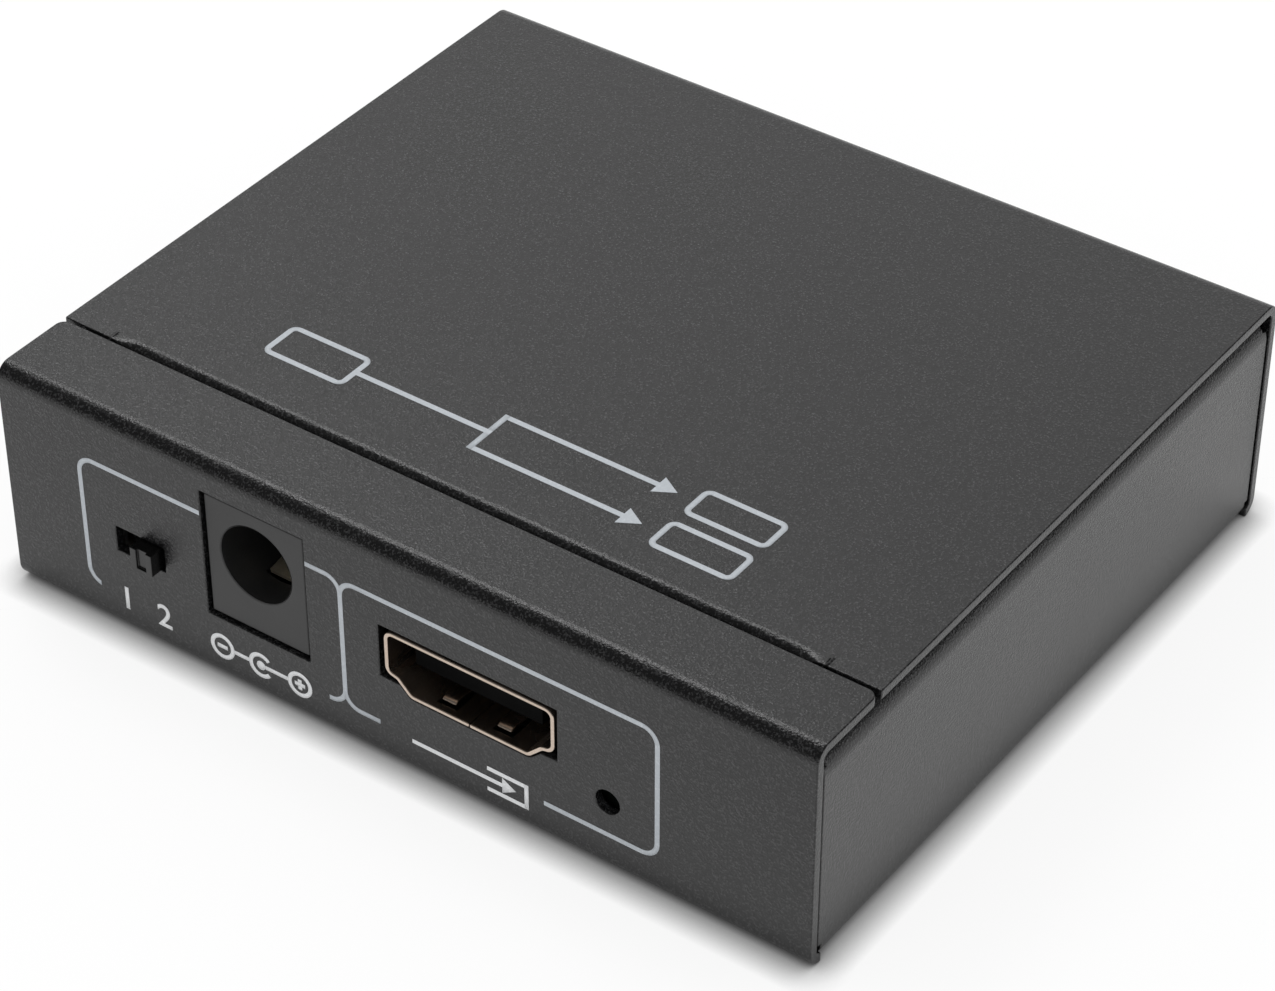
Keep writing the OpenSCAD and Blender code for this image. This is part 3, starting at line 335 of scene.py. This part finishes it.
# Lamps: side-looking lamps, one behind each small hole in the panels.
# Each is a pale clear moulding, soldered at the board's edge.
LENS_DEPTH = 0.4 * mm
LENS_GLOW = 0.3
lamp_lens, _, shader = finish_with_grain(
    "lamp_lens", dark=(0.62, 0.66, 0.68), light=(0.74, 0.78, 0.8), rough=(0.12, 0.24),
    pebbles=0.2 * mm, depth=0.003 * mm,
)
shader.inputs["Subsurface Weight"].default_value = LENS_GLOW
shader.inputs["Subsurface Radius"].default_value = [LENS_DEPTH] * 3
dress(lamp_lens, "input_lamp", "output_lamps")

# Board screws: four cross-recessed screws of nickel-plated steel, headed cold and rolled.
# They go down through the board into the stand-offs and clamp it there.
dress(pressed_steel, "board_screws")

# Top cover: the other half of the case, with the top, the back panel and a strip underneath.
# It is folded from the same coated sheet, and its stepped front edge tucks under the tray's strip.
soft_copy("top_cover", COAT_EDGE, case_coat)

# Drawn ends: at each end of an offset bend the sheet runs smoothly from the step to the flat.
# They belong to the cover's and the tray's sheets, pressed with the bends and coated with them.
CASE_H = 19.6 * mm
BEND_END, DRAWN_L = 31.3 * mm, 2.8 * mm
BEND_Y, BEND_Z, BEND_R = -22.1 * mm, 18.65 * mm, 0.95 * mm
DRAWN_LIFT, DRAWN_SINK = 0.004 * mm, 0.06 * mm
DRAWN_EDGE = 0.06
EDGE_POWER = 6
STEPS = 10


def drawn_sheet(bm, turn, side, drawn):
    """A grid of points over one end of a bend: drawn up to the flat, or the bend itself, sunk a little."""
    rows = []
    for i in range(STEPS + 1):
        rise = (1 + math.cos(math.pi * max(i - 1, 0) / (STEPS - 1))) / 2 if drawn else 0.0
        lift = DRAWN_LIFT * (2 * rise - 1) if drawn else -DRAWN_SINK
        row = []
        for j in range(STEPS + 1):
            angle = math.pi / 2 * j / STEPS
            y = BEND_Y - BEND_R * math.sin(angle)
            z = BEND_Z + BEND_R * math.cos(angle) + lift
            z += (CASE_H + DRAWN_LIFT - z) * rise * (1 - DRAWN_EDGE * (j / STEPS) ** EDGE_POWER)
            x = side * (BEND_END - DRAWN_L * i / STEPS)
            row.append(bm.verts.new((x, turn * y, z if turn > 0 else CASE_H - z)))
        rows.append(row)
    return rows


drawn_ends = bmesh.new()
for turn, side in ((1, 1), (1, -1), (-1, 1), (-1, -1)):
    skin = drawn_sheet(drawn_ends, turn, side, True)
    under = drawn_sheet(drawn_ends, turn, side, False)
    for rows in (skin, under):
        for i in range(STEPS):
            for j in range(STEPS):
                drawn_ends.faces.new((rows[i][j], rows[i + 1][j], rows[i + 1][j + 1], rows[i][j + 1]))
    for i in range(STEPS):
        for j in (0, STEPS):
            drawn_ends.faces.new((skin[i][j], skin[i + 1][j], under[i + 1][j], under[i][j]))
            drawn_ends.faces.new((skin[j][i], skin[j][i + 1], under[j][i + 1], under[j][i]))
bmesh.ops.recalc_face_normals(drawn_ends, faces=drawn_ends.faces)
add_piece("drawn_ends", drawn_ends, case_coat)

# Cover screws: two flat-headed screws, blackened, that come up through the rear strip
# and hold the cover to the tray.
SCREW_EDGE = 0.05 * mm
blackened_steel, _, _ = finish_with_grain(
    "blackened_steel", dark=(0.02, 0.02, 0.02), light=(0.05, 0.05, 0.05), rough=(0.3, 0.46),
    pebbles=0.1 * mm, depth=0.004 * mm, metallic=0.6,
)
soft_copy("cover_screws", SCREW_EDGE, blackened_steel)

# Printed legends: thin ink, pad printed on the coat, grey for the lines and white for the signs.
# A line boxes in each socket, plain numbers tell the switch's ends and the outputs apart,
# and common signs show the power plug's polarity and which way the signal goes.
INK_FILM = 0.014 * mm
LINE_W = 0.4 * mm
SIGN_W = 0.36 * mm
HEAD_R = 0.8 * mm
CORNER_R = 1.3 * mm
CAP_SHARE = 0.69
NUMBER_WEIGHT = 0.02
CORNER_STEPS, DOT_STEPS, RING_STEPS = 8, 24, 32
HEAD_LENGTH = 1.5
BOX_LOW, BOX_HIGH = 3.4 * mm, 14.85 * mm
grey_ink, _, _ = finish_with_grain(
    "grey_ink", dark=(0.41, 0.44, 0.47), light=(0.5, 0.53, 0.56), rough=(0.5, 0.64),
    pebbles=0.22 * mm, depth=0.012 * mm,
)
white_ink, _, _ = finish_with_grain(
    "white_ink", dark=(0.7, 0.71, 0.72), light=(0.8, 0.81, 0.82), rough=(0.5, 0.64),
    pebbles=0.22 * mm, depth=0.012 * mm,
)


def ink_box(bm, low, high, corner=CORNER_R, width=LINE_W):
    """Adds a closed line with rounded corners, whose middle runs from low to high."""
    low, high = Vector((*low, 0)), Vector((*high, 0))
    half = (high - low) / 2 + Vector((width / 2, width / 2, 0))
    place = Matrix.Translation((low + high) / 2) @ Matrix.Diagonal((half.x, half.y, 1, 1))
    corners = bmesh.ops.create_grid(bm, x_segments=1, y_segments=1, size=1, matrix=place)["verts"]
    rounded = bmesh.ops.bevel(
        bm, geom=corners, offset=corner + width / 2, offset_type="OFFSET", affect="VERTICES",
        segments=CORNER_STEPS, profile=0.5, material=-1,
    )
    plate = next(f for f in rounded["verts"][0].link_faces)
    bmesh.ops.inset_region(bm, faces=[plate], thickness=width, use_boundary=True, use_even_offset=True)
    bmesh.ops.delete(bm, geom=[plate], context="FACES")


def keep_side(bm, at, away):
    """Cuts the ink along a straight line and drops what lies on the far side."""
    everything = bm.verts[:] + bm.edges[:] + bm.faces[:]
    bmesh.ops.bisect_plane(bm, geom=everything, plane_co=at, plane_no=away, clear_outer=True)


def rub_out(bm, low, high):
    """Clears the ink inside a rectangle, with straight ends."""
    for at, along in ((low, (1, 0, 0)), (high, (1, 0, 0)), (low, (0, 1, 0)), (high, (0, 1, 0))):
        everything = bm.verts[:] + bm.edges[:] + bm.faces[:]
        bmesh.ops.bisect_plane(bm, geom=everything, plane_co=(*at, 0), plane_no=along)
    inside = [
        f for f in bm.faces
        if low[0] < f.calc_center_median().x < high[0] and low[1] < f.calc_center_median().y < high[1]
    ]
    bmesh.ops.delete(bm, geom=inside, context="FACES")


def ink_bar(bm, a, b, width=SIGN_W):
    """Adds a straight line from a to b."""
    a, b = Vector((*a, 0)), Vector((*b, 0))
    run = b - a
    turn = Matrix.Rotation(math.atan2(run.y, run.x), 4, "Z")
    size = Matrix.Diagonal((run.length / 2, width / 2, 1, 1))
    bmesh.ops.create_grid(
        bm, x_segments=1, y_segments=1, size=1, matrix=Matrix.Translation((a + b) / 2) @ turn @ size,
    )


def ink_arrow(bm, a, b, width=SIGN_W, head=HEAD_R):
    """Adds a line from a to b that ends in a solid head."""
    a, b = Vector((*a, 0)), Vector((*b, 0))
    along = (b - a).normalized()
    ink_bar(bm, a.xy, (b - HEAD_LENGTH * head * along).xy, width)
    turn = Matrix.Rotation(math.atan2(along.y, along.x) - math.pi / 2, 4, "Z")
    place = Matrix.Translation(b - head * along) @ turn
    bmesh.ops.create_circle(bm, cap_ends=True, segments=3, radius=head, matrix=place)


def ink_ring(bm, centre, radius, opening=0.0):
    """Adds a round line, open by an angle towards +x."""
    arm = Vector((math.cos(opening / 2), math.sin(opening / 2), 0))
    middle = Vector((*centre, 0))
    inner = bm.verts.new(middle + (radius - SIGN_W / 2) * arm)
    outer = bm.verts.new(middle + (radius + SIGN_W / 2) * arm)
    bmesh.ops.spin(
        bm, geom=[inner, outer, bm.edges.new((inner, outer))], cent=middle, axis=(0, 0, 1),
        angle=2 * math.pi - opening, steps=RING_STEPS, use_merge=opening == 0.0,
    )


def ink_dot(bm, centre, radius):
    """Adds a solid dot."""
    bmesh.ops.create_circle(
        bm, cap_ends=True, segments=DOT_STEPS, radius=radius, matrix=Matrix.Translation((*centre, 0)),
    )


def ink_number(bm, text, middle, height):
    """Adds a plain number, centred."""
    curve = bpy.data.curves.new("number", "FONT")
    curve.body = text
    curve.size = height / CAP_SHARE
    curve.align_x = "CENTER"
    curve.align_y = "CENTER"
    curve.offset = NUMBER_WEIGHT * height
    writing = bpy.data.objects.new("number", curve)
    glyph = bpy.data.meshes.new_from_object(writing)
    glyph.transform(Matrix.Translation((*middle, 0)))
    bm.from_mesh(glyph)
    bpy.data.meshes.remove(glyph)
    bpy.data.objects.remove(writing)
    bpy.data.curves.remove(curve)


def print_on(name, bm, panel, finish):
    """Gives flat ink its thickness and lays it on a panel, given the panel's matrix."""
    bmesh.ops.recalc_face_normals(bm, faces=bm.faces)
    raised = bmesh.ops.extrude_face_region(bm, geom=bm.faces[:])["geom"]
    film = [v for v in raised if isinstance(v, bmesh.types.BMVert)]
    bmesh.ops.translate(bm, verts=film, vec=(0, 0, INK_FILM))
    bmesh.ops.recalc_face_normals(bm, faces=bm.faces)
    bmesh.ops.transform(bm, matrix=panel, verts=bm.verts)
    return add_piece(name, bm, finish)


# Front lines: grey ink, a box round the switch and the jack and one round the input.
# They share the line between them, and both stop short of the signs at the bottom.
OUTER_X, SHARED_X, LAST_X = -28.1 * mm, -4.05 * mm, 22.95 * mm
JACK_MARGIN = 0.3 * mm
LEFT_END, RIGHT_END = 1 * mm, 1.5 * mm
INPUT_START, INPUT_END = 3.1 * mm, 13.4 * mm
tray_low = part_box("base_tray")[0]
jack_low, jack_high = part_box("power_jack_body")
front_panel = Matrix.Translation((0, tray_low.y, 0)) @ Matrix.Rotation(math.pi / 2, 4, "X")
left_lines = bmesh.new()
ink_box(left_lines, (OUTER_X, BOX_LOW), (SHARED_X, BOX_HIGH))
keep_side(left_lines, (SHARED_X, 0, 0), (1, 0, 0))
rub_out(
    left_lines, (jack_low.x - JACK_MARGIN, BOX_HIGH - LINE_W),
    (jack_high.x + JACK_MARGIN, BOX_HIGH + LINE_W),
)
rub_out(left_lines, (OUTER_X + LEFT_END, BOX_LOW - LINE_W), (SHARED_X - RIGHT_END, BOX_LOW + LINE_W))
print_on("switch_and_jack_lines", left_lines, front_panel, grey_ink)
right_lines = bmesh.new()
ink_box(right_lines, (SHARED_X, BOX_LOW), (LAST_X, BOX_HIGH))
keep_side(right_lines, (SHARED_X, 0, 0), (-1, 0, 0))
rub_out(right_lines, (SHARED_X + INPUT_START, BOX_LOW - LINE_W), (INPUT_END, BOX_LOW + LINE_W))
print_on("input_lines", right_lines, front_panel, grey_ink)

# Front signs: white ink, printed over the lines' gaps.
# A number tells each end of the switch, and the others show the plug's polarity and the way in.
NUMBER_H = 2.0 * mm
SIGN_R = 0.95 * mm
SIGN_Z = 3.1 * mm
POLE_GAP = 3.6 * mm
DOT_R = 0.4 * mm
POLE_ARM = 0.5 * SIGN_R
ARROW_BACK, BRACKET_AHEAD = 5.2 * mm, 4.8 * mm
BRACKET_L, ARROW_SHORT = 3.4 * mm, 0.9 * mm
RING_OPENING = math.radians(80)
LEFT_NUMBER, RIGHT_NUMBER = 1.4, 0.4
knob_low, knob_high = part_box("switch_knob")
knob_mid = (knob_low.x + knob_high.x) / 2
throw = frame["record"]["behaviour"]["joints"][0]["range_m"][0]
switch_signs = bmesh.new()
ink_number(switch_signs, "1", (knob_mid + LEFT_NUMBER * throw, SIGN_Z), NUMBER_H)
ink_number(switch_signs, "2", (knob_mid + RIGHT_NUMBER * abs(throw), SIGN_Z), NUMBER_H)
print_on("switch_numbers", switch_signs, front_panel, white_ink)
jack_mid = (jack_low.x + jack_high.x) / 2
ring_edge = SIGN_R + SIGN_W / 2
polarity = bmesh.new()
ink_dot(polarity, (jack_mid, SIGN_Z), DOT_R)
ink_ring(polarity, (jack_mid, SIGN_Z), SIGN_R, RING_OPENING)
ink_bar(polarity, (jack_mid + DOT_R, SIGN_Z), (jack_mid + POLE_GAP - ring_edge, SIGN_Z))
ink_bar(polarity, (jack_mid - POLE_GAP + ring_edge, SIGN_Z), (jack_mid - ring_edge, SIGN_Z))
for x in (jack_mid - POLE_GAP, jack_mid + POLE_GAP):
    ink_ring(polarity, (x, SIGN_Z), SIGN_R)
    ink_bar(polarity, (x - POLE_ARM, SIGN_Z), (x + POLE_ARM, SIGN_Z))
for way in (-1, 1):
    ink_bar(
        polarity, (jack_mid + POLE_GAP, SIGN_Z + way * SIGN_W / 2),
        (jack_mid + POLE_GAP, SIGN_Z + way * POLE_ARM),
    )
print_on("polarity_sign", polarity, front_panel, white_ink)
input_low, input_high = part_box("input_port_shell")
input_mid = (input_low.x + input_high.x) / 2
bracket_x = input_mid + BRACKET_AHEAD
input_sign = bmesh.new()
ink_arrow(input_sign, (input_mid - ARROW_BACK, SIGN_Z), (bracket_x - ARROW_SHORT, SIGN_Z))
ink_bar(input_sign, (bracket_x, SIGN_Z - ring_edge), (bracket_x, SIGN_Z + ring_edge))
for side in (-1, 1):
    ink_bar(
        input_sign, (bracket_x - BRACKET_L, SIGN_Z + side * SIGN_R),
        (bracket_x - SIGN_W / 2, SIGN_Z + side * SIGN_R),
    )
print_on("input_sign", input_sign, front_panel, white_ink)

# Back lines and signs: a box in grey ink for each output.
# Its number and an arrow that points out of the case are printed in white, in the line's gap.
cover_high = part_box("top_cover")[1]
back_panel = (
    Matrix.Translation((0, cover_high.y, 0)) @ Matrix.Rotation(math.pi, 4, "Z")
    @ Matrix.Rotation(math.pi / 2, 4, "X")
)
BOX_LEFT, BOX_RIGHT = 9.6 * mm, 14.0 * mm
SIGN_GAP = 5.6 * mm
NUMBER_X, TAIL_X, TIP_X = -3.4 * mm, -0.6 * mm, 4.4 * mm
for number in ("1", "2"):
    shell_low, shell_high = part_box(f"output_port_{number}_shell")
    middle = -(shell_low.x + shell_high.x) / 2
    lines = bmesh.new()
    ink_box(lines, (middle - BOX_LEFT, BOX_LOW), (middle + BOX_RIGHT, BOX_HIGH))
    rub_out(lines, (middle - SIGN_GAP, BOX_LOW - LINE_W), (middle + SIGN_GAP, BOX_LOW + LINE_W))
    print_on(f"output_{number}_lines", lines, back_panel, grey_ink)
    sign = bmesh.new()
    ink_number(sign, number, (middle + NUMBER_X, SIGN_Z), NUMBER_H)
    ink_arrow(sign, (middle + TAIL_X, SIGN_Z), (middle + TIP_X, SIGN_Z))
    print_on(f"output_{number}_sign", sign, back_panel, white_ink)

# Top sign: grey ink along the front of the cover.
# It shows what the splitter does: one source, a line that forks, and two screens.
TITLE_Y = -16 * mm
TITLE_W = 0.46 * mm
FORK_X = -2 * mm
BRANCH = 2.1 * mm
SIGN_END, SOURCE_X, TIPS_X, SCREEN_X = 21 * mm, -14 * mm, 12.8 * mm, 14.4 * mm
SOURCE_HALF, SCREEN_HALF = 1.7 * mm, 1.4 * mm
SMALL_R, TITLE_HEAD = 0.5 * mm, 1.1 * mm
top_panel = Matrix.Translation((0, 0, cover_high.z))
fork = bmesh.new()
ink_box(fork, (-SIGN_END, TITLE_Y - SOURCE_HALF), (SOURCE_X, TITLE_Y + SOURCE_HALF), SMALL_R, TITLE_W)
ink_bar(fork, (SOURCE_X + TITLE_W / 2, TITLE_Y), (FORK_X + TITLE_W / 2, TITLE_Y), TITLE_W)
for side in (-1, 1):
    y = TITLE_Y + side * BRANCH
    ink_bar(fork, (FORK_X, TITLE_Y + side * TITLE_W / 2), (FORK_X, y + side * TITLE_W / 2), TITLE_W)
    ink_arrow(fork, (FORK_X + TITLE_W / 2, y), (TIPS_X, y), TITLE_W, TITLE_HEAD)
    ink_box(fork, (SCREEN_X, y - SCREEN_HALF), (SIGN_END, y + SCREEN_HALF), SMALL_R, TITLE_W)
print_on("forked_signal_sign", fork, top_panel, grey_ink)

# Stage: a pale floor under plain soft studio light, and the camera at the photograph's angle.
# The backdrop is white to the camera; in gloss it is white at the back and a dark room elsewhere.
# The floor is white to the camera and in gloss, and keeps the object's real shadow in its diffuse share; a
# painted contact shadow also dims its glow, darkest where it is touched.
FLOOR_GLOW = 0.85
PAINTED_SHADOW_REACH = 2.6 * mm
FLOOR_HALF = 3.0
FLOOR_DROP = 0.05 * mm
PALE = 0.93
PAINTED_SHADOW_POWER = 2.0
floor = bmesh.new()
bmesh.ops.create_grid(
    floor, x_segments=1, y_segments=1, size=FLOOR_HALF, matrix=Matrix.Translation((0, 0, -FLOOR_DROP)),
)
floor_mesh = bpy.data.meshes.new("floor")
floor.to_mesh(floor_mesh)
floor.free()


def larger(tree, a, b):
    """The larger of two values."""
    node = tree.nodes.new("ShaderNodeMath")
    node.operation = "MAXIMUM"
    tree.links.new(a, node.inputs[0])
    tree.links.new(b, node.inputs[1])
    return node.outputs["Value"]


floor_paint = bpy.data.materials.new("floor_paint")
floor_paint.use_nodes = True
tree = floor_paint.node_tree
tree.nodes.clear()
path = tree.nodes.new("ShaderNodeLightPath").outputs
seen = larger(tree, path["Is Camera Ray"], larger(tree, path["Is Glossy Ray"], path["Is Transmission Ray"]))
share = put(tree, "ShaderNodeMapRange", Value=seen, To_Max=FLOOR_GLOW)
paint = put(tree, "ShaderNodeBsdfDiffuse", Color=(PALE, PALE, PALE, 1.0))
# Painted contact shadow: occlusion within a short reach of the case dims the floor's white glow.
painted_contact_shadow = put(tree, "ShaderNodeAmbientOcclusion", Distance=PAINTED_SHADOW_REACH)
painted_shadow_depth = tree.nodes.new("ShaderNodeMath")
painted_shadow_depth.operation = "POWER"
tree.links.new(painted_contact_shadow.outputs["AO"], painted_shadow_depth.inputs[0])
painted_shadow_depth.inputs[1].default_value = PAINTED_SHADOW_POWER
glow_with_painted_shadow = put(tree, "ShaderNodeEmission", Color=(1.0, 1.0, 1.0, 1.0), Strength=painted_shadow_depth.outputs["Value"])
mixed = put(tree, "ShaderNodeMixShader", Fac=share.outputs["Result"])
tree.links.new(paint.outputs["BSDF"], mixed.inputs[1])
tree.links.new(glow_with_painted_shadow.outputs["Emission"], mixed.inputs[2])
put(tree, "ShaderNodeOutputMaterial", Surface=mixed.outputs["Shader"])
floor_mesh.materials.append(floor_paint)
floor_piece = bpy.data.objects.new("floor", floor_mesh)
bpy.context.scene.collection.objects.link(floor_piece)

SOFTBOX_SIZE, SOFTBOX_WATTS = 0.22, 1.3
SOFTBOX_PLACE = (-0.366, 0.192, 0.685)
lamp = bpy.data.lights.new("softbox", "AREA")
lamp.size = SOFTBOX_SIZE
lamp.energy = SOFTBOX_WATTS
softbox = bpy.data.objects.new("softbox", lamp)
bpy.context.scene.collection.objects.link(softbox)
softbox.location = SOFTBOX_PLACE
softbox.rotation_euler = softbox.location.to_track_quat("Z", "Y").to_euler()
softbox.visible_camera = False

AMBIENT = 0.95
DARK_ROOM = 0.12
WHITE_SIDE = (-0.5, 0.6, 0.62)
WHITE_FROM, WHITE_TO = 0.7, 0.86
world = bpy.data.worlds.new("studio")
bpy.context.scene.world = world
world.use_nodes = True
tree = world.node_tree
backdrop = tree.nodes["Background"]
backdrop.inputs["Color"].default_value = (1.0, 1.0, 1.0, 1.0)
path = tree.nodes.new("ShaderNodeLightPath").outputs
facing = tree.nodes.new("ShaderNodeVectorMath")
facing.operation = "DOT_PRODUCT"
tree.links.new(tree.nodes.new("ShaderNodeTexCoord").outputs["Generated"], facing.inputs[0])
facing.inputs[1].default_value = WHITE_SIDE
in_gloss = put(
    tree, "ShaderNodeMapRange", Value=facing.outputs["Value"],
    From_Min=WHITE_FROM, From_Max=WHITE_TO, To_Min=DARK_ROOM, To_Max=1.0,
)
lighting = put(
    tree, "ShaderNodeMapRange", Value=path["Is Glossy Ray"],
    To_Min=AMBIENT, To_Max=in_gloss.outputs["Result"],
)
shown = put(
    tree, "ShaderNodeMapRange", Value=larger(tree, path["Is Camera Ray"], path["Is Transmission Ray"]),
    To_Min=lighting.outputs["Result"], To_Max=1.0,
)
tree.links.new(shown.outputs["Result"], backdrop.inputs["Strength"])

AIM = Vector((1.755, -3.26, 7.417)) * mm
CAMERA_DISTANCE = 293.5 * mm
LENS_MM, SENSOR_MM = 112.26, 36.0
NEAR, FAR = 0.01, 10.0
AZIMUTH, ELEVATION = math.radians(35.684), math.radians(38.432)
towards = Vector((
    math.cos(ELEVATION) * math.sin(AZIMUTH), -math.cos(ELEVATION) * math.cos(AZIMUTH), math.sin(ELEVATION)
))
camera = bpy.data.cameras.new("camera")
camera.lens = LENS_MM
camera.sensor_width = SENSOR_MM
camera.sensor_fit = "HORIZONTAL"
camera.clip_start, camera.clip_end = NEAR, FAR
camera_stand = bpy.data.objects.new("camera", camera)
bpy.context.scene.collection.objects.link(camera_stand)
camera_stand.location = AIM + CAMERA_DISTANCE * towards
camera_stand.rotation_euler = (-towards).to_track_quat("-Z", "Y").to_euler()
bpy.context.scene.camera = camera_stand
bpy.context.scene.view_settings.view_transform = "Standard"
